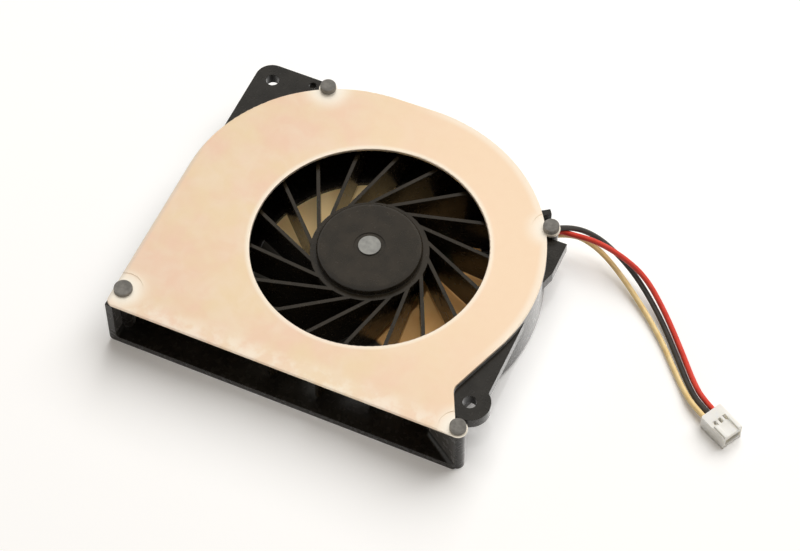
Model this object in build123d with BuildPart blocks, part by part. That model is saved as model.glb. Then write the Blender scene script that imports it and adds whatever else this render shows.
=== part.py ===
from build123d import *
import os
from math import asin, atan2, cos, degrees, hypot, pi, radians, sin, sqrt, tan

# Thin centrifugal blower for a laptop: a moulded scroll case with a sheet cover, and a
# bladed rotor on a brushless motor. Millimetres, +Z up, the outlet faces -Y. The origin
# is on the rotor's axis, on the underside of the case.

# Case heights
cover_top = 10.2
cover_gauge = 0.5
floor_gauge = 1.2
wall = 1.2
wall_top = cover_top - cover_gauge

# Scroll in plan: two arcs, the straight left side and the outlet
left_reach = 33.2
left_arc_radius = 25.6
left_arc_rise = 3.0
right_arc_radius = 28.4
right_arc_center = (-0.5, 0.4)
underside_radius = 0.8
duct_foot_radius = 0.8

# Outlet: its distance from the rotor, and the wedge at its right end between the flared
# duct face with its tongue inside and the notch for the front ear outside
outlet_gap = 2.3
side_foot_inset = 8.05
flare_end = 1.4
flare_lip = 0.2
flare_angle = 57.0
tongue_radius = 1.2
notch_angle = 26.0
notch_radius = 2.0
cut_overrun = 4.0

# Sheet cover
inlet_radius = 19.0
cover_edge_radius = 0.2
cover_corner_radius = 1.2
seat_radius = 3.1
seat_depth = 0.1
tab_radius = 1.5

# Rivets that hold the cover: in the front corners, and on the rim of each arc
left_rivet_inset = (1.5, 3.45)
right_rivet_inset = (1.77, 1.48)
back_rivet_angle = 116.9
back_rivet_stand = 0.12
side_rivet_angle = 29.28
side_rivet_stand = 0.84
flat_head_radius = 1.5
flat_head_height = 0.6
tall_head_radius = 1.3
tall_head_height = 1.0
rivet_head_round = 0.25
rivet_shank_radius = 0.6
rivet_length = 4.5
rivet_clearance = 0.02
post_radius = 1.2

# Mounting ears and flanges of the case
ear_top = 9.0
ear_gauge = 2.0
ear_hole_radius = 1.1
back_ear_inset = 1.3
back_ear_drop = 0.9
back_ear_corner = 2.8
back_hole_inset = 3.1
dimple_offset = (-2.97, 0.3)
dimple_radius = 0.65
dimple_depth = 0.7
front_hole_inset = (2.2, 7.1)
front_ear_radius = 3.3
flange_inset = 0.15
flange_rise = 2.2
flange_back = -3.0
horn_stand = 0.35
horn_gap = 1.1
horn_front = 7.5
horn_root = 2.5

# Base plate under the rotor, in a rebate of the case floor
plate_radius = 20.75
plate_gauge = 0.5
plate_clearance = 0.05
plate_ledge = 2.0

# Way out of the leads: a floor groove, a slot in the wall and a cheek beside it
lead_angle = 35.25
lead_pitch = 1.0
wire_diameter = 0.9
groove_width = 3.2
riser_gap = 1.1
slot_width = 1.1
slot_mouth_width = 3.6
slot_lead_in = 0.7
slot_foot = 3.8
exit_run = 1.4
exit_heights = {"yellow": 4.45, "red": 5.4, "black": 6.35}
cheek_width = 1.0
cheek_run = 1.5
cheek_foot = 2.5

# Impeller, which runs in the scroll with a gap to its wall
scroll_gap = 2.7
blade_count = 18
blade_gauge = 0.6
blade_offset = 8.0
blade_phase = 15.6
blade_foot = 1.75
blade_top = 8.5
hub_top = 10.0
hub_radius = 8.5
hub_wall = 0.7
hub_roof = 0.9
hub_top_round = 0.8
collar_radius = 9.5
collar_height = 1.5
recess_radius = 2.5
recess_depth = 0.15

# Rotor cup, magnet and shaft
yoke_gauge = 0.4
yoke_lift = 0.2
magnet_gauge = 1.1
magnet_lift = 0.2
magnet_height = 4.4
shaft_radius = 1.0
shaft_end_round = 0.25
shaft_groove_depth = 0.25
shaft_groove_lift = 0.5
ring_gauge = 0.25
ring_radius = 1.75
ring_slit = 0.4
bush_radius = 1.8
bush_flange_radius = 2.6
bush_flange_gauge = 0.4
bush_skirt = 0.6
bush_stand = 0.1

# Bearing
tube_bore = 2.2
tube_wall = 0.4
tube_bottom = 0.4
tube_flange_width = 0.7
tube_flange_gauge = 0.4
tube_top = 7.4
pad_gauge = 0.4
pad_clearance = 0.05
end_play = 0.02
bearing_clearance = 0.02
bearing_foot = 1.9
bearing_sink = 0.4

# Stator
pole_count = 6
air_gap = 0.3
core_foot = 3.3
core_height = 2.6
core_ring_width = 0.9
arm_width = 1.2
shoe_depth = 0.6
shoe_gap = 1.0
insulator_gauge = 0.4
coil_gauge = 0.5
coil_clearance = 0.03
coil_inset = 0.1
coil_round = 0.3

# Motor board
board_radius = 8.2
board_gauge = 0.5
board_bore_clearance = 0.1
board_tail_reach = 12.6
board_tail_width = 3.6
solder_length = 1.8
solder_width = 0.7
solder_height = 0.4
chip_size = (2.9, 1.6, 0.7)
chip_place = (-5.6, 0.0)
component_size = (0.8, 1.6, 0.5)
component_places = [(-2.6, 5.4), (-2.6, -5.4)]

# Plug on the far end of the leads, lying on the table, placed from where the leads leave
plug_offset = (34.79, -19.37)
plug_angle = -28.0
plug_length = 5.3
plug_width = 4.0
plug_height = 2.8
plug_edge_round = 0.25
plug_bore_clearance = 0.02
plug_bore_depth = 1.2
plug_mouth_size = (3.0, 1.3)
plug_mouth_depth = 2.2
plug_window_size = (0.9, 0.55)
plug_window_place = 2.3
plug_rib_width = 0.6
plug_rib_height = 0.35
contact_side = 0.5
contact_length = 3.4
plug_run = 2.6

# Free run of each lead to the run into the plug, in plan from where it leaves the case
wire_routes = {
    "red": [(1.3, 0.92, 5.4), (3.6, 0.9, 5.6), (7.4, 0.8, 6.3), (12.1, 0.7, 4.9),
            (16.7, -0.4, 3.2), (21.5, -4.2, 1.5), (26.2, -9.3, 0.75), (30.3, -14.6, 1.2)],
    "black": [(2.5, 1.77, 6.35), (6.9, 2.9, 4.8), (12.4, 1.3, 3.0), (17.2, -1.7, 1.7),
              (22.2, -6.2, 0.7), (26.5, -11.3, 0.5), (30.0, -15.5, 0.6)],
    "yellow": [(2.9, 2.05, 4.3), (7.2, 1.9, 3.3), (11.6, 0.0, 2.0), (17.5, -4.1, 0.8),
               (22.8, -8.9, 0.5), (26.2, -12.8, 0.5), (29.3, -16.3, 0.6)],
}
wire_sides = {"yellow": -1, "black": 0, "red": 1}
arc_share = 0.45

# Heights, radii and reaches that follow from the sizes above
left_arc_center = (left_arc_radius - left_reach, left_arc_rise)
right_reach = right_arc_center[0] + right_arc_radius
back_reach = left_arc_center[1] + left_arc_radius
side_foot_x = right_reach - side_foot_inset
impeller_radius = right_arc_radius - wall - scroll_gap
outlet_reach = impeller_radius + outlet_gap
hub_bore = hub_radius - hub_wall
yoke_top = hub_top - hub_roof
yoke_bore = hub_bore - yoke_gauge
magnet_bore = yoke_bore - magnet_gauge
magnet_foot = blade_foot + yoke_lift + magnet_lift
bush_top = hub_top + bush_stand
tube_radius = tube_bore + tube_wall
tube_flange_radius = tube_radius + tube_flange_width
tube_flange_top = plate_gauge + tube_flange_gauge
pad_top = tube_bottom + pad_gauge
shaft_foot = pad_top + end_play
ring_foot = shaft_foot + shaft_groove_lift
core_radius = magnet_bore - air_gap
core_ring_radius = tube_radius + core_ring_width
core_top = core_foot + core_height
insulator_foot = core_foot - insulator_gauge
insulator_top = core_top + insulator_gauge
board_top = plate_gauge + board_gauge


def on_circle(center, radius, angle):
    """Point of a circle at an angle in degrees."""
    return (
        center[0] + radius * cos(radians(angle)),
        center[1] + radius * sin(radians(angle)),
    )


def heading(center_a, radius_a, center_b, radius_b):
    """Direction, in degrees, of the line from one clockwise arc on to the next."""
    across = center_b[0] - center_a[0]
    along = center_b[1] - center_a[1]
    return degrees(atan2(along, across) - asin((radius_a - radius_b) / hypot(across, along)))


def meet(point_a, angle_a, point_b, angle_b):
    """Point where two lines cross, each given by a point and a direction in degrees."""
    ax, ay = cos(radians(angle_a)), sin(radians(angle_a))
    bx, by = cos(radians(angle_b)), sin(radians(angle_b))
    gap_x = point_b[0] - point_a[0]
    gap_y = point_b[1] - point_a[1]
    share = (gap_x * by - gap_y * bx) / (ax * by - ay * bx)
    return (point_a[0] + share * ax, point_a[1] + share * ay)


def reach_to_arc(center, radius, angle):
    """Distance from the origin to a circle round it, in a direction in degrees."""
    along = center[0] * cos(radians(angle)) + center[1] * sin(radians(angle))
    return along + sqrt(radius**2 + along**2 - center[0] ** 2 - center[1] ** 2)


# Rivets, ears and the way out of the leads, placed from the outline of the case
left_rivet = (left_rivet_inset[0] - left_reach, left_rivet_inset[1] - outlet_reach)
back_rivet = on_circle(left_arc_center, left_arc_radius + back_rivet_stand, back_rivet_angle)
side_rivet = on_circle(right_arc_center, right_arc_radius + side_rivet_stand, side_rivet_angle)
right_rivet = (right_reach - right_rivet_inset[0], right_rivet_inset[1] - outlet_reach)
rivet_points = [left_rivet, back_rivet, side_rivet, right_rivet]
back_ear = (back_ear_inset - left_reach, back_reach - back_ear_drop)
back_ear_hole = (back_ear[0] + back_hole_inset, back_ear[1] - back_hole_inset)
front_ear_hole = (right_reach - front_hole_inset[0], front_hole_inset[1] - outlet_reach)
dimple_point = (back_rivet[0] + dimple_offset[0], back_rivet[1] + dimple_offset[1])
wall_reach = reach_to_arc(right_arc_center, right_arc_radius, lead_angle)
riser_reach = wall_reach - wall - riser_gap
slot_inner_reach = wall_reach - wall - slot_lead_in
exit_reach = wall_reach + exit_run
cheek_reach = wall_reach + cheek_run
lead_exit = on_circle((0, 0), exit_reach, lead_angle)

# Planes of the way out and of the plug, with X along them
lead_plane = Plane((0, 0, 0), x_dir=(cos(radians(lead_angle)), sin(radians(lead_angle)), 0))
plug_plane = Plane(
    (lead_exit[0] + plug_offset[0], lead_exit[1] + plug_offset[1], 0),
    x_dir=(cos(radians(plug_angle)), sin(radians(plug_angle)), 0),
)


def duct_face(inset, overrun):
    """Scroll and outlet in plan, moved in by inset and run out past the outlet."""
    left_radius = left_arc_radius - inset
    right_radius = right_arc_radius - inset
    top_heading = heading(left_arc_center, left_radius, right_arc_center, right_radius)
    foot = (side_foot_x, -outlet_reach)
    side_heading = heading(right_arc_center, right_radius, foot, -inset)
    side_top = on_circle(right_arc_center, right_radius, side_heading + 90)
    mouth = (right_reach - flare_end, -outlet_reach)
    nose = meet(side_top, side_heading, mouth, notch_angle - 90)
    nose_radius = notch_radius
    start = (inset - left_reach, -outlet_reach - overrun)
    front = [mouth, start]
    if overrun > 0:
        mouth = (mouth[0] - flare_lip, mouth[1])
        nose = meet(side_top, side_heading, mouth, flare_angle - 90)
        nose_radius = tongue_radius
        front = [mouth, (mouth[0], start[1]), start]
    with BuildSketch() as face:
        with BuildLine():
            Line(start, (inset - left_reach, left_arc_rise))
            CenterArc(left_arc_center, left_radius, 180, top_heading - 90)
            Line(
                on_circle(left_arc_center, left_radius, top_heading + 90),
                on_circle(right_arc_center, right_radius, top_heading + 90),
            )
            CenterArc(right_arc_center, right_radius, top_heading + 90, side_heading - top_heading)
            Polyline(side_top, nose, *front)
        make_face()
        fillet(face.vertices().sort_by_distance(nose)[0], radius=nose_radius)
    return face.sketch


def ear_faces():
    """Flanges of the case in plan: the back ear, the front ear and the horn by the leads."""
    flange_reach = right_reach - flange_inset
    flange_root = right_reach - 4 * wall
    horn_reach = right_reach + horn_stand
    horn_back = side_rivet[1] - horn_gap
    horn_inner = right_reach - 3 * wall
    with BuildSketch() as faces:
        with BuildLine():
            Polyline(
                (back_ear[0], left_arc_rise),
                back_ear,
                (back_rivet[0], back_ear[1]),
                (back_rivet[0], left_arc_rise),
                (back_ear[0], left_arc_rise),
            )
        make_face()
        fillet(faces.vertices().sort_by_distance(back_ear)[0], radius=back_ear_corner)
        with BuildLine():
            Polyline(
                (flange_reach, flange_back),
                (flange_reach, front_ear_hole[1] + flange_rise),
                front_ear_hole,
                (side_foot_x, front_ear_hole[1]),
                (flange_root, flange_back),
                (flange_reach, flange_back),
            )
        make_face()
        with Locations(front_ear_hole):
            Circle(front_ear_radius)
        with BuildLine():
            Polyline(
                (horn_reach, horn_front),
                (horn_reach, horn_back),
                (horn_inner, horn_back),
                (horn_inner, horn_root),
                (horn_inner + 2 * wall, horn_root),
                (horn_reach, horn_front),
            )
        make_face()
    return faces.sketch


def lead_path(points, radii):
    """Smooth path of straight runs and tangent arcs through the corners given."""
    with BuildLine() as path:
        FilletPolyline(*points, radius=radii)
    return path.wire()


def wire_tube(path):
    """Round wire along a path."""
    with BuildPart() as tube:
        with BuildLine():
            add(path)
        with BuildSketch(Plane(path @ 0, z_dir=path % 0)):
            Circle(wire_diameter / 2)
        sweep()
    return tube


def corner_radii(points):
    """Largest arc at each corner of a loose route: a share of its shorter run."""
    radii = []
    for before, corner, after in zip(points, points[1:], points[2:]):
        run_in = Vector(*corner) - Vector(*before)
        run_out = Vector(*after) - Vector(*corner)
        half_turn = radians(run_in.get_angle(run_out)) / 2
        radii.append(arc_share * min(run_in.length, run_out.length) / tan(half_turn))
    return radii


os.makedirs("parts", exist_ok=True)
duct_outside = duct_face(0, 0)
duct_inside = duct_face(wall, cut_overrun)

# Moulded scroll case: floor, wall, ears, rivet posts and the way out of the leads
with BuildPart() as housing:
    with BuildSketch():
        add(duct_outside)
    extrude(amount=wall_top)
    lower_rim = housing.edges().group_by(Axis.Z)[0]
    scroll_rim = lower_rim.filter_by(GeomType.CIRCLE) + lower_rim.filter_by(Axis.Y)
    fillet(scroll_rim.filter_by_position(Axis.X, -left_reach, right_reach - wall), underside_radius)
    with BuildSketch(Plane.XY.offset(ear_top - ear_gauge)):
        add(ear_faces())
    extrude(amount=ear_gauge)
    with BuildSketch(lead_plane.offset(cheek_foot)):
        with Locations((wall_reach, slot_width / 2)):
            Rectangle(cheek_run, cheek_width, align=(Align.MIN, Align.MIN))
    extrude(amount=wall_top - cheek_foot)
    with BuildSketch():
        with Locations(*rivet_points[1:]):
            Circle(post_radius)
    extrude(amount=wall_top)
    with BuildSketch(Plane.XY.offset(floor_gauge)):
        add(duct_inside)
    extrude(amount=wall_top, mode=Mode.SUBTRACT)
    duct_rim = housing.edges().filter_by_position(Axis.Z, floor_gauge, floor_gauge)
    fillet(duct_rim.group_by(Axis.Y)[1:], duct_foot_radius)
    with BuildSketch():
        with Locations(rivet_points[0]):
            Circle(post_radius)
    extrude(amount=wall_top)
    with BuildSketch():
        Circle(plate_radius + plate_clearance)
    extrude(amount=plate_gauge, mode=Mode.SUBTRACT)
    with BuildSketch():
        Circle(plate_radius + plate_clearance - plate_ledge)
    extrude(amount=floor_gauge, mode=Mode.SUBTRACT)
    with BuildSketch(lead_plane.offset(plate_gauge)):
        with Locations((plate_radius - 2 * plate_ledge, 0)):
            groove_length = riser_reach + wire_diameter - plate_radius + 2 * plate_ledge
            Rectangle(groove_length, groove_width, align=(Align.MIN, Align.CENTER))
    extrude(amount=floor_gauge - plate_gauge + duct_foot_radius, mode=Mode.SUBTRACT)
    with BuildSketch(lead_plane.offset(slot_foot)):
        with BuildLine():
            Polyline(
                (slot_inner_reach, -slot_mouth_width / 2),
                (slot_inner_reach, slot_mouth_width / 2),
                (wall_reach, slot_width / 2),
                (cheek_reach + wall, slot_width / 2),
                (cheek_reach + wall, -slot_width / 2),
                (wall_reach, -slot_width / 2),
                (slot_inner_reach, -slot_mouth_width / 2),
            )
        make_face()
    extrude(amount=wall_top - slot_foot, mode=Mode.SUBTRACT)
    with BuildSketch(Plane.XY.offset(wall_top - rivet_length)):
        with Locations(*rivet_points):
            Circle(rivet_shank_radius + rivet_clearance)
    extrude(amount=rivet_length, mode=Mode.SUBTRACT)
    with BuildSketch(Plane.XY.offset(ear_top - ear_gauge)):
        with Locations(back_ear_hole, front_ear_hole):
            Circle(ear_hole_radius)
    extrude(amount=ear_gauge, mode=Mode.SUBTRACT)
    with BuildSketch(Plane.XY.offset(ear_top - dimple_depth)):
        with Locations(dimple_point):
            Circle(dimple_radius)
    extrude(amount=dimple_depth, mode=Mode.SUBTRACT)
housing.part.label = "housing"
export_step(housing.part, "parts/housing.step")

# Pressed sheet cover with the air inlet and a coined seat round each rivet
with BuildPart() as top_cover:
    with BuildSketch(Plane.XY.offset(wall_top)) as sheet:
        add(duct_outside)
        left_corner = sheet.vertices().sort_by_distance((-left_reach, -outlet_reach))[0]
        fillet(left_corner, cover_corner_radius)
        Circle(inlet_radius, mode=Mode.SUBTRACT)
    extrude(amount=cover_gauge)
    fillet(top_cover.edges().group_by(Axis.Z)[-1], cover_edge_radius)
    with BuildSketch(Plane.XY.offset(wall_top)):
        with Locations(*rivet_points[1:]):
            Circle(tab_radius)
    extrude(amount=cover_gauge - seat_depth)
    with BuildSketch(Plane.XY.offset(cover_top - seat_depth)):
        with Locations(*rivet_points):
            Circle(seat_radius)
    extrude(amount=seat_depth, mode=Mode.SUBTRACT)
    with BuildSketch(Plane.XY.offset(wall_top)):
        with Locations(*rivet_points):
            Circle(rivet_shank_radius + rivet_clearance)
    extrude(amount=cover_gauge, mode=Mode.SUBTRACT)
top_cover.part.label = "top_cover"
export_step(top_cover.part, "parts/top_cover.step")

# Four rivets through the cover into the posts of the case: a flat head on the sheet in the
# left corner, and tall heads on the tabs at the rim
with BuildPart() as cover_rivets:
    rivet_seat = cover_top - seat_depth
    with BuildSketch(Plane.XY.offset(wall_top - rivet_length)):
        with Locations(*rivet_points):
            Circle(rivet_shank_radius)
    extrude(amount=rivet_length + rivet_seat - wall_top)
    with BuildSketch(Plane.XY.offset(rivet_seat)):
        with Locations(left_rivet):
            Circle(flat_head_radius)
    extrude(amount=flat_head_height)
    fillet(cover_rivets.edges().group_by(Axis.Z)[-1], rivet_head_round)
    with BuildSketch(Plane.XY.offset(rivet_seat)):
        with Locations(*rivet_points[1:]):
            Circle(tall_head_radius)
    extrude(amount=tall_head_height)
    fillet(cover_rivets.edges().group_by(Axis.Z)[-1], rivet_head_round)
cover_rivets.part.label = "cover_rivets"
export_step(cover_rivets.part, "parts/cover_rivets.step")

# Copper-coloured plate that closes the floor and carries the motor
with BuildPart() as base_plate:
    with BuildSketch():
        Circle(plate_radius)
        Circle(tube_radius, mode=Mode.SUBTRACT)
    extrude(amount=plate_gauge)
base_plate.part.label = "base_plate"
export_step(base_plate.part, "parts/base_plate.step")

# Bearing tube, closed at the bottom, with a flange on the base plate
with BuildPart() as bearing_tube:
    with BuildSketch(Plane.XZ):
        with BuildLine():
            Polyline(
                (0, 0),
                (tube_radius, 0),
                (tube_radius, plate_gauge),
                (tube_flange_radius, plate_gauge),
                (tube_flange_radius, tube_flange_top),
                (tube_radius, tube_flange_top),
                (tube_radius, tube_top),
                (tube_bore, tube_top),
                (tube_bore, tube_bottom),
                (0, tube_bottom),
                (0, 0),
            )
        make_face()
    revolve(axis=Axis.Z)
bearing_tube.part.label = "bearing_tube"
export_step(bearing_tube.part, "parts/bearing_tube.step")

# Low-friction pad under the end of the shaft
with BuildPart() as thrust_pad:
    with BuildSketch(Plane.XY.offset(tube_bottom)):
        Circle(tube_bore - pad_clearance)
    extrude(amount=pad_gauge)
thrust_pad.part.label = "thrust_pad"
export_step(thrust_pad.part, "parts/thrust_pad.step")

# Sintered sleeve bearing
with BuildPart() as sleeve_bearing:
    with BuildSketch(Plane.XY.offset(bearing_foot)):
        Circle(tube_bore)
        Circle(shaft_radius + bearing_clearance, mode=Mode.SUBTRACT)
    extrude(amount=tube_top - bearing_sink - bearing_foot)
sleeve_bearing.part.label = "sleeve_bearing"
export_step(sleeve_bearing.part, "parts/sleeve_bearing.step")

# Laminated stator core with one arm and shoe per pole
with BuildPart() as stator_core:
    with BuildSketch(Plane.XY.offset(core_foot)):
        Circle(core_radius)
        Circle(core_radius - shoe_depth, mode=Mode.SUBTRACT)
        with PolarLocations(core_radius - shoe_depth / 2, pole_count, start_angle=180 / pole_count):
            Rectangle(2 * shoe_depth, shoe_gap, mode=Mode.SUBTRACT)
        with PolarLocations(0, pole_count):
            Rectangle(core_radius - shoe_depth / 2, arm_width, align=(Align.MIN, Align.CENTER))
        Circle(core_ring_radius)
        Circle(tube_radius, mode=Mode.SUBTRACT)
    extrude(amount=core_height)
stator_core.part.label = "stator_core"
export_step(stator_core.part, "parts/stator_core.step")

# Insulators on both ends of the core; the lower one stands on the tube's flange
with BuildPart() as lower_insulator:
    with BuildSketch(Plane.XY.offset(insulator_foot)):
        with PolarLocations(0, pole_count):
            Rectangle(core_radius - shoe_depth, arm_width, align=(Align.MIN, Align.CENTER))
        Circle(core_ring_radius)
        Circle(tube_radius, mode=Mode.SUBTRACT)
    extrude(amount=insulator_gauge)
    with BuildSketch(Plane.XY.offset(tube_flange_top)):
        Circle(tube_flange_radius)
        Circle(tube_radius, mode=Mode.SUBTRACT)
    extrude(amount=insulator_foot - tube_flange_top)
lower_insulator.part.label = "lower_insulator"
export_step(lower_insulator.part, "parts/lower_insulator.step")

with BuildPart() as upper_insulator:
    with BuildSketch(Plane.XY.offset(core_top)):
        with PolarLocations(0, pole_count):
            Rectangle(core_radius - shoe_depth, arm_width, align=(Align.MIN, Align.CENTER))
        Circle(core_ring_radius)
        Circle(tube_radius, mode=Mode.SUBTRACT)
    extrude(amount=insulator_gauge)
upper_insulator.part.label = "upper_insulator"
export_step(upper_insulator.part, "parts/upper_insulator.step")

# One coil round each arm and its insulators
with BuildPart() as stator_coils:
    window_width = arm_width + 2 * coil_clearance
    window_height = insulator_top - insulator_foot + 2 * coil_clearance
    coil_width = window_width + 2 * coil_gauge
    coil_height = window_height + 2 * coil_gauge
    coil_middle = (insulator_foot + insulator_top) / 2
    coil_start = core_ring_radius + coil_inset
    coil_end = sqrt((core_radius - shoe_depth) ** 2 - (coil_width / 2) ** 2) - coil_inset
    coil_length = coil_end - coil_start
    with PolarLocations(0, pole_count):
        with Locations((coil_start, 0, coil_middle)):
            Box(coil_length, coil_width, coil_height, align=(Align.MIN, Align.CENTER, Align.CENTER))
    fillet(stator_coils.edges().filter_by(lambda edge: abs(edge.length - coil_length) < 1e-6), coil_round)
    with PolarLocations(0, pole_count):
        with Locations((coil_start, 0, coil_middle)):
            Box(
                coil_length,
                window_width,
                window_height,
                align=(Align.MIN, Align.CENTER, Align.CENTER),
                mode=Mode.SUBTRACT,
            )
stator_coils.part.label = "stator_coils"
export_step(stator_coils.part, "parts/stator_coils.step")

# Motor board on the base plate, with a tail for the leads
with BuildPart() as motor_board:
    with BuildSketch(lead_plane.offset(plate_gauge)):
        Circle(board_radius)
        Rectangle(board_tail_reach, board_tail_width, align=(Align.MIN, Align.CENTER))
        Circle(tube_flange_radius + board_bore_clearance, mode=Mode.SUBTRACT)
    extrude(amount=board_gauge)
motor_board.part.label = "motor_board"
export_step(motor_board.part, "parts/motor_board.step")

with BuildPart() as driver_chip:
    with BuildSketch(lead_plane.offset(board_top)):
        with Locations(chip_place):
            Rectangle(chip_size[1], chip_size[0])
    extrude(amount=chip_size[2])
driver_chip.part.label = "driver_chip"
export_step(driver_chip.part, "parts/driver_chip.step")

with BuildPart() as board_components:
    with BuildSketch(lead_plane.offset(board_top)):
        with Locations(*component_places):
            Rectangle(component_size[0], component_size[1])
    extrude(amount=component_size[2])
board_components.part.label = "board_components"
export_step(board_components.part, "parts/board_components.step")

# Solder joints of the three leads on the board's tail
lead_sides = {"yellow": -lead_pitch, "red": 0, "black": lead_pitch}
with BuildPart() as solder_joints:
    with BuildSketch(lead_plane.offset(board_top)):
        with Locations(*[(board_tail_reach - solder_length / 2, side) for side in lead_sides.values()]):
            Rectangle(solder_length, solder_width)
    extrude(amount=solder_height)
    joint_tops = solder_joints.edges().group_by(Axis.Z)[-1]
    fillet(joint_tops.filter_by(lambda edge: edge.length > 1.5 * solder_width), solder_width / 3)
solder_joints.part.label = "solder_joints"
export_step(solder_joints.part, "parts/solder_joints.step")

# Leads inside the case: along the floor, up beside the wall and out by the slot
lead_height = plate_gauge + wire_diameter / 2
riser_bend = 1.1 * wire_diameter
with BuildPart() as inner_leads:
    for colour, side in lead_sides.items():
        lift = exit_heights[colour]
        corners = [
            (board_tail_reach, side, lead_height),
            (riser_reach, side, lead_height),
            (riser_reach, side, lift),
        ]
        bends = [riser_bend, riser_bend]
        if side != 0:
            corners.append((wall_reach, 0, lift))
            bends.append(exit_run)
        corners.append((exit_reach, 0, lift))
        world = [lead_plane.from_local_coords(Vector(*corner)) for corner in corners]
        add(wire_tube(lead_path(world, bends)).part)
inner_leads.part.label = "inner_leads"
export_step(inner_leads.part, "parts/inner_leads.step")

# Free leads from the case to the plug
wire_level = plug_height / 2
for colour, route in wire_routes.items():
    start = (*lead_exit, exit_heights[colour])
    free_run = [(lead_exit[0] + x, lead_exit[1] + y, z) for x, y, z in route]
    side = wire_sides[colour] * lead_pitch
    run_in = plug_plane.from_local_coords(Vector(-plug_run, side, wire_level))
    end = plug_plane.from_local_coords(Vector(plug_bore_depth, side, wire_level))
    points = [start, *free_run, tuple(run_in), tuple(end)]
    radii = corner_radii(points)
    path = lead_path(points, radii)
    wire = wire_tube(path)
    section = pi * wire_diameter**2 / 4
    print(colour, "length", round(path.length, 2), "radii", [round(r, 1) for r in radii])
    print(colour, "volume", round(wire.part.volume, 3), "of", round(section * path.length, 3))
    wire.part.label = colour + "_wire"
    export_step(wire.part, "parts/" + colour + "_wire.step")

# Plug with a bore for each lead, a mouth in front and a window over each contact
with BuildPart() as plug_housing:
    plug_sides = [side * lead_pitch for side in wire_sides.values()]
    with BuildSketch(plug_plane):
        Rectangle(plug_length, plug_width, align=(Align.MIN, Align.CENTER))
    extrude(amount=plug_height)
    fillet(plug_housing.edges().filter_by(Axis.Z), plug_edge_round)
    with BuildSketch(plug_plane.offset(plug_height)):
        with Locations((plug_length / 2, plug_width / 2 - plug_rib_width)):
            Rectangle(plug_length / 2, plug_rib_width, align=(Align.MIN, Align.CENTER))
        with Locations((plug_length / 2, plug_rib_width - plug_width / 2)):
            Rectangle(plug_length / 2, plug_rib_width, align=(Align.MIN, Align.CENTER))
    extrude(amount=plug_rib_height)
    rear_plane = Plane(
        plug_plane.from_local_coords(Vector(0, 0, wire_level)),
        x_dir=plug_plane.y_dir,
        z_dir=plug_plane.x_dir,
    )
    with BuildSketch(rear_plane):
        with Locations(*[(side, 0) for side in plug_sides]):
            Circle(wire_diameter / 2 + plug_bore_clearance)
    extrude(amount=plug_bore_depth, mode=Mode.SUBTRACT)
    with BuildSketch(rear_plane):
        with Locations(*[(side, 0) for side in plug_sides]):
            Rectangle(contact_side, contact_side)
    extrude(amount=plug_length, mode=Mode.SUBTRACT)
    with BuildSketch(rear_plane.offset(plug_length - plug_mouth_depth)):
        Rectangle(plug_mouth_size[0], plug_mouth_size[1])
    extrude(amount=plug_mouth_depth, mode=Mode.SUBTRACT)
    with BuildSketch(plug_plane.offset(wire_level)):
        with Locations(*[(plug_window_place, side) for side in plug_sides]):
            Rectangle(plug_window_size[0], plug_window_size[1])
    extrude(amount=wire_level, mode=Mode.SUBTRACT)
plug_housing.part.label = "plug_housing"
export_step(plug_housing.part, "parts/plug_housing.step")

# Crimped contacts in the plug, one on the end of each lead
with BuildPart() as plug_contacts:
    with BuildSketch(rear_plane.offset(plug_bore_depth)):
        with Locations(*[(side, 0) for side in plug_sides]):
            Rectangle(contact_side, contact_side)
    extrude(amount=contact_length)
plug_contacts.part.label = "plug_contacts"
export_step(plug_contacts.part, "parts/plug_contacts.step")

# Impeller: hub with its collar and the straight swept-back blades, one moulding
with BuildPart() as impeller:
    blade_start = sqrt(hub_radius**2 - blade_offset**2)
    blade_end = sqrt(impeller_radius**2 - blade_offset**2)
    with BuildSketch(Plane.XY.offset(blade_foot)):
        with PolarLocations(0, blade_count, start_angle=blade_phase):
            with Locations((blade_start, blade_offset)):
                Rectangle(blade_end - blade_start, blade_gauge, align=(Align.MIN, Align.CENTER))
    extrude(amount=blade_top - blade_foot)
    with BuildSketch(Plane.XZ):
        with BuildLine():
            Polyline(
                (hub_bore, blade_foot),
                (hub_radius, blade_foot),
                (hub_radius, blade_top - collar_height),
                (collar_radius, blade_top - collar_height),
                (collar_radius, blade_top),
                (hub_radius, blade_top),
                (hub_radius, hub_top - hub_top_round),
            )
            JernArc((hub_radius, hub_top - hub_top_round), (0, 1), hub_top_round, 90)
            Polyline(
                (hub_radius - hub_top_round, hub_top),
                (recess_radius, hub_top),
                (recess_radius, hub_top - recess_depth),
                (bush_radius, hub_top - recess_depth),
                (bush_radius, yoke_top),
                (hub_bore, yoke_top),
                (hub_bore, blade_foot),
            )
        make_face()
    revolve(axis=Axis.Z)
impeller.part.label = "impeller"
export_step(impeller.part, "parts/impeller.step")

# Steel cup inside the hub
with BuildPart() as rotor_yoke:
    with BuildSketch(Plane.XZ):
        with BuildLine():
            Polyline(
                (bush_radius, yoke_top),
                (hub_bore, yoke_top),
                (hub_bore, blade_foot + yoke_lift),
                (yoke_bore, blade_foot + yoke_lift),
                (yoke_bore, yoke_top - yoke_gauge),
                (bush_radius, yoke_top - yoke_gauge),
                (bush_radius, yoke_top),
            )
        make_face()
    revolve(axis=Axis.Z)
rotor_yoke.part.label = "rotor_yoke"
export_step(rotor_yoke.part, "parts/rotor_yoke.step")

# Ring magnet in the cup
with BuildPart() as rotor_magnet:
    with BuildSketch(Plane.XY.offset(magnet_foot)):
        Circle(yoke_bore)
        Circle(magnet_bore, mode=Mode.SUBTRACT)
    extrude(amount=magnet_height)
rotor_magnet.part.label = "rotor_magnet"
export_step(rotor_magnet.part, "parts/rotor_magnet.step")

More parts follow.
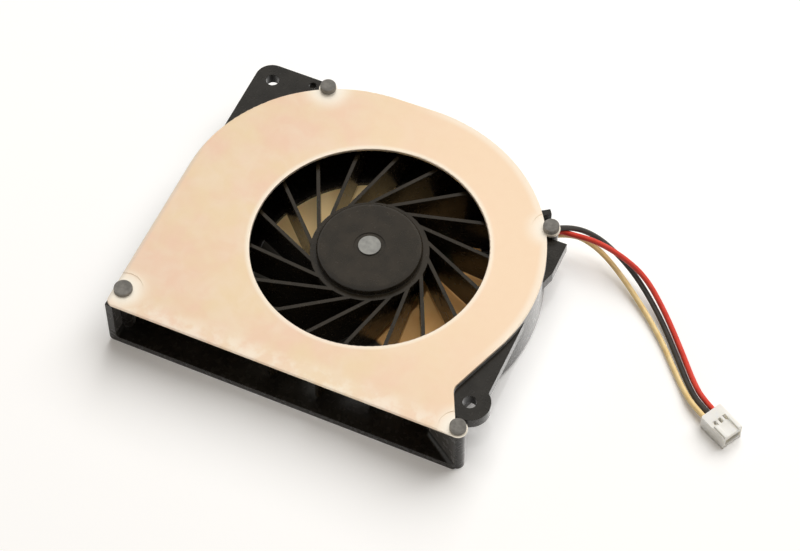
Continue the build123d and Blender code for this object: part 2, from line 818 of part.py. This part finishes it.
# Metal bush that joins hub, cup and shaft; its top shows in the middle of the hub
with BuildPart() as shaft_bush:
    flange_top = yoke_top - yoke_gauge
    flange_foot = flange_top - bush_flange_gauge
    with BuildSketch(Plane.XZ):
        with BuildLine():
            Polyline(
                (shaft_radius, flange_foot - bush_skirt),
                (bush_radius, flange_foot - bush_skirt),
                (bush_radius, flange_foot),
                (bush_flange_radius, flange_foot),
                (bush_flange_radius, flange_top),
                (bush_radius, flange_top),
                (bush_radius, bush_top),
                (shaft_radius, bush_top),
                (shaft_radius, flange_foot - bush_skirt),
            )
        make_face()
    revolve(axis=Axis.Z)
shaft_bush.part.label = "shaft_bush"
export_step(shaft_bush.part, "parts/shaft_bush.step")

# Shaft with a rounded foot and a groove for the retaining ring
with BuildPart() as shaft:
    with BuildSketch(Plane.XZ):
        with BuildLine():
            Line((0, shaft_foot), (shaft_radius - shaft_end_round, shaft_foot))
            JernArc((shaft_radius - shaft_end_round, shaft_foot), (1, 0), shaft_end_round, 90)
            Polyline(
                (shaft_radius, shaft_foot + shaft_end_round),
                (shaft_radius, ring_foot),
                (shaft_radius - shaft_groove_depth, ring_foot),
                (shaft_radius - shaft_groove_depth, ring_foot + ring_gauge),
                (shaft_radius, ring_foot + ring_gauge),
                (shaft_radius, bush_top),
                (0, bush_top),
                (0, shaft_foot),
            )
        make_face()
    revolve(axis=Axis.Z)
shaft.part.label = "shaft"
export_step(shaft.part, "parts/shaft.step")

# Slit ring that keeps the rotor from lifting out of the bearing
with BuildPart() as retaining_ring:
    with BuildSketch(Plane.XY.offset(ring_foot)):
        Circle(ring_radius)
        Circle(shaft_radius - shaft_groove_depth, mode=Mode.SUBTRACT)
        Rectangle(ring_radius, ring_slit, align=(Align.MIN, Align.CENTER), mode=Mode.SUBTRACT)
    extrude(amount=ring_gauge)
retaining_ring.part.label = "retaining_ring"
export_step(retaining_ring.part, "parts/retaining_ring.step")
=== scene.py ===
import bpy
from mathutils import Matrix, Vector


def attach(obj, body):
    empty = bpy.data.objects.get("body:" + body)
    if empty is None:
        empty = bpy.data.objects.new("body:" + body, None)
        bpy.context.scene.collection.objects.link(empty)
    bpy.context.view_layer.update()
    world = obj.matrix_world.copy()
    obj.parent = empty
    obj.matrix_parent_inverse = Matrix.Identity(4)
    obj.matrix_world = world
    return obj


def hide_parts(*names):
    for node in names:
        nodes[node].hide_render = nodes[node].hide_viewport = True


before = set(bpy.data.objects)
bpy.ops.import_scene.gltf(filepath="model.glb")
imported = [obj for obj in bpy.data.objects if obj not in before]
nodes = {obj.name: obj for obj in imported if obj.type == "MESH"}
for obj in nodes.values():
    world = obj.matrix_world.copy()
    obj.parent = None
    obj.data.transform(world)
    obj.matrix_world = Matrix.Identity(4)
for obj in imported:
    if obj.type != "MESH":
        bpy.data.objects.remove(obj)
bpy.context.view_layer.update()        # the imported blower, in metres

scene = bpy.context.scene
scene.view_settings.view_transform = "Standard"


def add(name, data):
    """A new object in the scene."""
    holder = bpy.data.objects.new(name, data)
    scene.collection.objects.link(holder)
    return holder


# Camera, solved from the photograph: its three axes in columns, then its place

camera_data = bpy.data.cameras.new("camera")
camera_data.sensor_fit = "HORIZONTAL"
camera_data.sensor_width = 36.0
camera_data.lens = 119.78
camera_data.clip_start = 0.01
camera = add("camera", camera_data)
camera.matrix_world = Matrix((
    (0.9134, -0.3359, 0.2298, 0.10276),
    (0.4070, 0.7539, -0.5157, -0.21878),
    (0.0, 0.5646, 0.8254, 0.35486),
    (0.0, 0.0, 0.0, 1.0),
))
scene.camera = camera


# Free leads, each along the same points as its solid, in millimetres here

wire_diameter = 0.0009
wire_points = {
    "red": [
        (24.19, 17.09, 5.40), (25.49, 18.01, 5.40), (27.79, 17.99, 5.60), (31.59, 17.89, 6.30),
        (36.29, 17.79, 4.90), (40.89, 16.69, 3.20), (45.69, 12.89, 1.50), (50.39, 7.79, 0.75),
        (54.49, 2.49, 1.20), (57.15, -0.17, 1.40), (60.50, -1.96, 1.40),
    ],
    "black": [
        (24.19, 17.09, 6.35), (26.69, 18.86, 6.35), (31.09, 19.99, 4.80), (36.59, 18.39, 3.00),
        (41.39, 15.39, 1.70), (46.39, 10.89, 0.70), (50.69, 5.79, 0.50), (54.19, 1.59, 0.60),
        (56.68, -1.06, 1.40), (60.04, -2.84, 1.40),
    ],
    "yellow": [
        (24.19, 17.09, 4.45), (27.09, 19.14, 4.30), (31.39, 18.99, 3.30), (35.79, 17.09, 2.00),
        (41.69, 12.99, 0.80), (46.99, 8.19, 0.50), (50.39, 4.29, 0.50), (53.49, 0.79, 0.60),
        (56.21, -1.94, 1.40), (59.57, -3.72, 1.40),
    ],
}
leads = {}
for colour, points in wire_points.items():
    curve = bpy.data.curves.new(colour + "_lead", "CURVE")
    curve.dimensions = "3D"
    curve.resolution_u = 12
    curve.bevel_depth = 1.0
    curve.bevel_resolution = 5
    curve.use_fill_caps = True
    spline = curve.splines.new("NURBS")
    spline.points.add(len(points) - 1)
    for point, place in zip(spline.points, points):
        point.co = (place[0] / 1000, place[1] / 1000, place[2] / 1000, 1.0)
        point.radius = wire_diameter / 2
    spline.order_u = 3
    spline.use_endpoint_u = True
    lead = add(colour + "_lead", curve)
    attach(lead, "frame")
    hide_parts(colour + "_wire")
    leads[colour] = lead


# Helpers for node materials

looks = {}
noise_roughness = 0.55
noise_core = (0.3, 0.7)    # between these lie most values of a noise
gloss_finer = 2.7          # how much finer the gloss varies than the tone
fine_grain, coarse_grain = 0.000004, 0.00001


def fresh_tree(owner):
    owner.use_nodes = True
    owner.node_tree.nodes.clear()
    return owner.node_tree


class Surface:
    """A principled material whose parts are built up from node sockets."""

    def __init__(self, name):
        self.material = bpy.data.materials.new(name)
        self.tree = fresh_tree(self.material)
        output = self.node("OutputMaterial")
        self.shader = self.node("BsdfPrincipled")
        self.link(self.shader.outputs[0], output.inputs[0])
        self.place = self.node("TexCoord").outputs["Object"]
        looks[name] = self

    def node(self, kind):
        return self.tree.nodes.new("ShaderNode" + kind)

    def link(self, source, target):
        if isinstance(source, bpy.types.NodeSocket):
            self.tree.links.new(source, target)
        else:
            target.default_value = source

    def set(self, name, value):
        self.link(value, self.shader.inputs[name])

    def noise(self, scale, detail=4.0, distortion=0.0, place=None):
        node = self.node("TexNoise")
        self.link(place or self.place, node.inputs["Vector"])
        node.inputs["Scale"].default_value = scale
        node.inputs["Detail"].default_value = detail
        node.inputs["Roughness"].default_value = noise_roughness
        node.inputs["Distortion"].default_value = distortion
        return node.outputs["Fac"]

    def span(self, value, low, high, to_low=0.0, to_high=1.0):
        """A smooth step from to_low to to_high, as the value goes from low to high."""
        node = self.node("MapRange")
        node.interpolation_type = "SMOOTHSTEP"
        node.clamp = True
        for socket, item in zip(node.inputs, (value, low, high, to_low, to_high)):
            self.link(item, socket)
        return node.outputs[0]

    def math(self, operation, first, second):
        node = self.node("Math")
        node.operation = operation
        self.link(first, node.inputs[0])
        self.link(second, node.inputs[1])
        return node.outputs[0]

    def mix(self, factor, first, second):
        node = self.node("Mix")
        node.data_type = "RGBA"
        self.link(factor, node.inputs[0])
        for socket, item in zip(node.inputs[6:8], (first, second)):
            self.link(item if isinstance(item, bpy.types.NodeSocket) else (*item, 1.0), socket)
        return node.outputs[2]

    def stretched(self, x, y, z):
        node = self.node("Mapping")
        self.link(self.place, node.inputs["Vector"])
        node.inputs["Scale"].default_value = (x, y, z)
        return node.outputs[0]

    def axes(self):
        node = self.node("SeparateXYZ")
        self.link(self.place, node.inputs[0])
        return node.outputs

    def along(self, x_share, y_share):
        """How far a place lies along a level direction."""
        x, y = self.axes()[:2]
        x_part = self.math("MULTIPLY", x, x_share)
        return self.math("ADD", x_part, self.math("MULTIPLY", y, y_share))

    def distance(self, point):
        """How far a place lies from an upright line through the point."""
        flat = self.node("VectorMath")
        flat.operation = "MULTIPLY"
        self.link(self.place, flat.inputs[0])
        flat.inputs[1].default_value = (1.0, 1.0, 0.0)
        node = self.node("VectorMath")
        node.operation = "DISTANCE"
        self.link(flat.outputs[0], node.inputs[0])
        node.inputs[1].default_value = (*point, 0.0)
        return node.outputs["Value"]

    def relief(self, height, depth, edge=0.0):
        """Fine bumps, and edges rounded off by the given radius."""
        node = self.node("Bump")
        node.inputs["Strength"].default_value = 1.0
        node.inputs["Distance"].default_value = depth
        self.link(height, node.inputs["Height"])
        if edge:
            bevel = self.node("Bevel")
            bevel.samples = 4
            bevel.inputs["Radius"].default_value = edge
            self.link(bevel.outputs[0], node.inputs["Normal"])
        self.set("Normal", node.outputs[0])

    def tone(self, scale):
        return self.span(self.noise(scale, detail=5.0), *noise_core)

    def gloss_and_grain(self, roughness, metallic, scale, grain, depth, edge):
        gloss = self.noise(scale * gloss_finer, detail=3.0)
        self.set("Roughness", self.span(gloss, *noise_core, *roughness))
        self.set("Metallic", metallic)
        self.relief(self.noise(grain, detail=2.0), depth, edge)


def plain(
    name, dark, light, roughness,
    metallic=0.0, scale=350.0, grain=4000.0, depth=fine_grain, edge=0.0
):
    """Mottled material: two tones by a soft noise, uneven gloss and a fine grain."""
    surface = Surface(name)
    surface.set("Base Color", surface.mix(surface.tone(scale), dark, light))
    surface.gloss_and_grain(roughness, metallic, scale, grain, depth, edge)
    return surface


# Sheet cover: satin copper-coloured metal with a soft mottle, and painted light that makes it lighter
# towards the right

cover = Surface("cover_copper")
mottle = cover.span(cover.noise(95.0, detail=3.0), 0.35, 0.65)
warm = cover.mix(mottle, (0.815, 0.585, 0.438), (0.805, 0.635, 0.427))
cloud = cover.span(cover.noise(240.0, detail=5.0, distortion=0.6), 0.35, 0.75, 0.0, 0.55)
warm = cover.mix(cloud, warm, (0.830, 0.680, 0.530))
# painted light: the cover's colour grows lighter towards the right and the back
painted_light_rightward = cover.span(cover.along(1.0, 0.6), -0.014, 0.030)
warm = cover.mix(painted_light_rightward, warm, (0.880, 0.680, 0.490))

# Its pale places: painted highlights on the inlet's rim and along the rim on the right, and pale pads
# at the rivets and pale patches along the front
inlet_centre = (0.0, 0.0)
rivet_places = ((-0.0317, -0.0234), (-0.0192, 0.0259), (0.0250, 0.0147), (0.0261, -0.0253))
right_arc_centre = (-0.0005, 0.0004)
# the pale colour is that of the painted highlights and the pale pads, the grey that of the painted edge
# shade
highlight_and_pad_colour, edge_shade_colour = (0.93, 0.87, 0.76), (0.60, 0.56, 0.50)
x, y = cover.axes()[:2]
# painted highlight: a pale ring along the inlet's rim
pale = cover.span(cover.distance(inlet_centre), 0.0193, 0.0200, 0.6, 0.0)
for point in rivet_places:
    pad = cover.span(cover.distance(point), 0.0014, 0.0050, 0.95, 0.0)
    pale = cover.math("MAXIMUM", pale, pad)
patchy = cover.span(cover.noise(420.0, detail=3.0), 0.40, 0.64, 0.12, 0.55)
front_strip = cover.math("MULTIPLY", cover.span(y, -0.0262, -0.0226, 1.0, 0.0), patchy)
pale = cover.math("MAXIMUM", pale, front_strip)
# painted highlight: a pale band along the cover's rim on the right
right_rim_highlight = cover.span(cover.distance(right_arc_centre), 0.0268, 0.0280, 0.0, 0.55)
right_rim_highlight = cover.math("MULTIPLY", right_rim_highlight, cover.span(y, -0.016, -0.006))
right_rim_highlight = cover.math("MULTIPLY", right_rim_highlight, cover.span(x, -0.006, 0.004))
pale = cover.math("MAXIMUM", pale, right_rim_highlight)
# the pale places laid over the tone: painted highlights on the rims, and pale pads and patches
highlights_and_pale_pads = cover.mix(pale, warm, highlight_and_pad_colour)
# painted shade: a grey line along the cover's left edge
left_edge_shade = cover.span(x, -0.0332, -0.0323, 0.6, 0.0)
cover.set("Base Color", cover.mix(left_edge_shade, highlights_and_pale_pads, edge_shade_colour))
cover.set("Metallic", 0.65)
cover.set("Roughness", cover.span(cover.noise(700.0), *noise_core, 0.34, 0.46))
brushed = cover.noise(2600.0, detail=2.0, place=cover.stretched(1.0, 0.12, 1.0))
cover.relief(brushed, 0.000003)


# Base plate: copper, browner and darker to the right as painted shade, and painted shade in black over
# the lower left part of its upper face

plate_scale = 160.0
plate = Surface("plate_copper")
tone = plate.tone(plate_scale)
# lit and shaded copies of the copper: the browner one is painted shade, laid towards the right
lit_copper = plate.mix(tone, (0.95, 0.66, 0.30), (0.97, 0.72, 0.36))
shaded_copper = plate.mix(tone, (0.84, 0.44, 0.15), (0.90, 0.52, 0.20))
copper = plate.mix(plate.span(plate.along(0.93, -0.36), -0.008, 0.009), lit_copper, shaded_copper)
# painted shade: black over the lower left of the plate's upper face, where it lies in shade
lower_left = plate.span(plate.along(-0.42, -0.906), 0.0064, 0.0072)
upper_face = plate.span(plate.axes()[2], 0.0003, 0.0004)
painted_shade_mask = plate.math("MULTIPLY", lower_left, upper_face)
plate.set("Base Color", plate.mix(painted_shade_mask, copper, (0.030, 0.027, 0.021)))
plate.gloss_and_grain(
    (0.42, 0.56), metallic=0.15, scale=plate_scale, grain=4000.0, depth=fine_grain, edge=0.0
)


# Moulded plastic of the case, of the impeller and of the plug

case = plain(
    "case_plastic", (0.009, 0.008, 0.006), (0.018, 0.016, 0.013), (0.20, 0.30),
    grain=8000.0, depth=0.0000012, edge=0.00012
)
case.set("Specular IOR Level", 0.32)
case.set("Sheen Weight", 1.0)
case.set("Sheen Roughness", 0.30)
impeller = plain(
    "impeller_plastic", (0.012, 0.009, 0.005), (0.020, 0.015, 0.009), (0.20, 0.28),
    scale=420.0, edge=0.00010
)
impeller.set("Specular IOR Level", 0.33)
plug = plain(
    "plug_ivory", (0.93, 0.91, 0.83), (0.97, 0.955, 0.89), (0.36, 0.48),
    scale=420.0, edge=0.00012
)
plug.set("Subsurface Weight", 0.45)
plug.set("Subsurface Radius", (1.0, 0.92, 0.75))
plug.set("Subsurface Scale", 0.003)


# Metals, ferrite, insulators, board and its parts: two tones, least and most roughness, how metallic,
# scale of the tones and depth of the grain

for name, dark, light, roughness, metallic, scale, depth in (
    ("rivet_metal", (0.165, 0.159, 0.146), (0.245, 0.235, 0.217), (0.52, 0.66), 0.8, 900.0, fine_grain),
    ("steel", (0.26, 0.26, 0.25), (0.36, 0.36, 0.34), (0.28, 0.40), 1.0, 900.0, fine_grain),
    ("tube_brass", (0.62, 0.45, 0.18), (0.72, 0.54, 0.24), (0.30, 0.42), 1.0, 700.0, fine_grain),
    ("bronze", (0.42, 0.26, 0.12), (0.56, 0.36, 0.18), (0.42, 0.58), 0.9, 2600.0, coarse_grain),
    ("core_steel", (0.26, 0.26, 0.27), (0.38, 0.38, 0.39), (0.38, 0.52), 0.9, 1200.0, fine_grain),
    ("solder", (0.55, 0.55, 0.54), (0.68, 0.68, 0.66), (0.25, 0.40), 0.95, 2200.0, coarse_grain),
    ("contact_tin", (0.62, 0.50, 0.30), (0.74, 0.62, 0.40), (0.30, 0.42), 0.95, 2200.0, fine_grain),
    ("ferrite", (0.035, 0.033, 0.032), (0.060, 0.056, 0.053), (0.55, 0.70), 0.0, 1800.0, coarse_grain),
    ("white_plastic", (0.72, 0.71, 0.67), (0.80, 0.79, 0.75), (0.42, 0.52), 0.0, 500.0, fine_grain),
    ("board_green", (0.010, 0.085, 0.032), (0.018, 0.120, 0.046), (0.28, 0.38), 0.0, 900.0, fine_grain),
    ("chip_black", (0.016, 0.016, 0.017), (0.028, 0.028, 0.029), (0.48, 0.60), 0.0, 2200.0, fine_grain),
    ("chip_ceramic", (0.44, 0.33, 0.22), (0.55, 0.42, 0.29), (0.40, 0.52), 0.0, 2400.0, fine_grain),
):
    plain(name, dark, light, roughness, metallic, scale, depth=depth)

# Insulation of the leads
for name, dark, light, roughness in (
    ("lead_red", (0.56, 0.030, 0.014), (0.68, 0.050, 0.024), (0.34, 0.46)),
    ("lead_black", (0.018, 0.015, 0.012), (0.034, 0.029, 0.024), (0.34, 0.46)),
    ("lead_yellow", (0.82, 0.58, 0.24), (0.90, 0.70, 0.36), (0.34, 0.46)),
    ("lead_mixed", (0.020, 0.017, 0.014), (0.050, 0.040, 0.034), (0.36, 0.48)),
):
    plain(name, dark, light, roughness, scale=500.0, grain=3000.0)

# Coils, with their turns as bands
winding = Surface("copper_wire")
turns = winding.node("TexWave")
turns.bands_direction = "Z"
winding.link(winding.place, turns.inputs["Vector"])
turns.inputs["Scale"].default_value = 1300.0
turns.inputs["Distortion"].default_value = 0.4
bands = turns.outputs["Fac"]
winding.set("Base Color", winding.mix(bands, (0.36, 0.13, 0.04), (0.68, 0.30, 0.11)))
winding.set("Metallic", 0.85)
winding.set("Roughness", winding.span(winding.noise(1500.0), *noise_core, 0.26, 0.40))
winding.relief(bands, 0.00004)

for node in nodes.values():
    for slot in node.material_slots:
        slot.material = looks[slot.material.name].material
for colour, lead in leads.items():
    lead.data.materials.append(looks["lead_" + colour].material)


# Pale table, a little brighter to the camera and to reflections, which keeps the part's shadow

def seen_rays(tree):
    """One for rays that show the background: from the camera, or mirrored or passed on."""
    path = tree.nodes.new("ShaderNodeLightPath")
    seen = path.outputs["Is Camera Ray"]
    for name in ("Is Glossy Ray", "Is Transmission Ray"):
        either = tree.nodes.new("ShaderNodeMath")
        either.operation = "MAXIMUM"
        tree.links.new(seen, either.inputs[0])
        tree.links.new(path.outputs[name], either.inputs[1])
        seen = either.outputs[0]
    return seen


table_height = -0.00002    # just under the part, so that no two faces share a plane
bpy.ops.mesh.primitive_plane_add(size=4.0, location=(0.0, 0.0, table_height))
table = bpy.context.object
table.name = "table"
table_look = bpy.data.materials.new("table")
tree = fresh_tree(table_look)
table_output = tree.nodes.new("ShaderNodeOutputMaterial")
paper = tree.nodes.new("ShaderNodeBsdfDiffuse")
paper.inputs["Color"].default_value = (0.92, 0.918, 0.910, 1.0)
glow = tree.nodes.new("ShaderNodeEmission")
glow.inputs["Color"].default_value = (1.0, 0.985, 0.965, 1.0)
level = tree.nodes.new("ShaderNodeMath")
level.operation = "MULTIPLY"
level.inputs[1].default_value = 0.14
tree.links.new(seen_rays(tree), level.inputs[0])
tree.links.new(level.outputs[0], glow.inputs["Strength"])
both = tree.nodes.new("ShaderNodeAddShader")
tree.links.new(paper.outputs[0], both.inputs[0])
tree.links.new(glow.outputs[0], both.inputs[1])
tree.links.new(both.outputs[0], table_output.inputs[0])
table.data.materials.append(table_look)


# World: white where it is seen, weaker and warmer as light

world = bpy.data.worlds.new("studio")
scene.world = world
tree = fresh_tree(world)
world_output = tree.nodes.new("ShaderNodeOutputWorld")
sky = tree.nodes.new("ShaderNodeBackground")
level = tree.nodes.new("ShaderNodeMix")
level.data_type = "RGBA"
level.inputs[6].default_value = (0.19, 0.165, 0.135, 1.0)
level.inputs[7].default_value = (1.0, 0.975, 0.935, 1.0)
tree.links.new(seen_rays(tree), level.inputs[0])
tree.links.new(level.outputs[2], sky.inputs["Color"])
tree.links.new(sky.outputs[0], world_output.inputs[0])


# Lamps: one broad soft box behind and a narrow spot into the inlet

box = bpy.data.lights.new("back_box", "AREA")
box.shape = "SQUARE"
box.size = 1.00
box.energy = 12.5
spot = bpy.data.lights.new("inlet_spot", "SPOT")
spot.energy = 20.0
spot.spot_size = 0.037
spot.spot_blend = 0.15
spot.shadow_soft_size = 0.03
for lamp, place in ((box, (0.12, 0.54, 0.83)), (spot, (0.03, -0.08, 1.00))):
    holder = add(lamp.name, lamp)
    holder.location = place
    holder.rotation_euler = (-Vector(place)).to_track_quat("-Z", "Y").to_euler()
    holder.visible_glossy = False
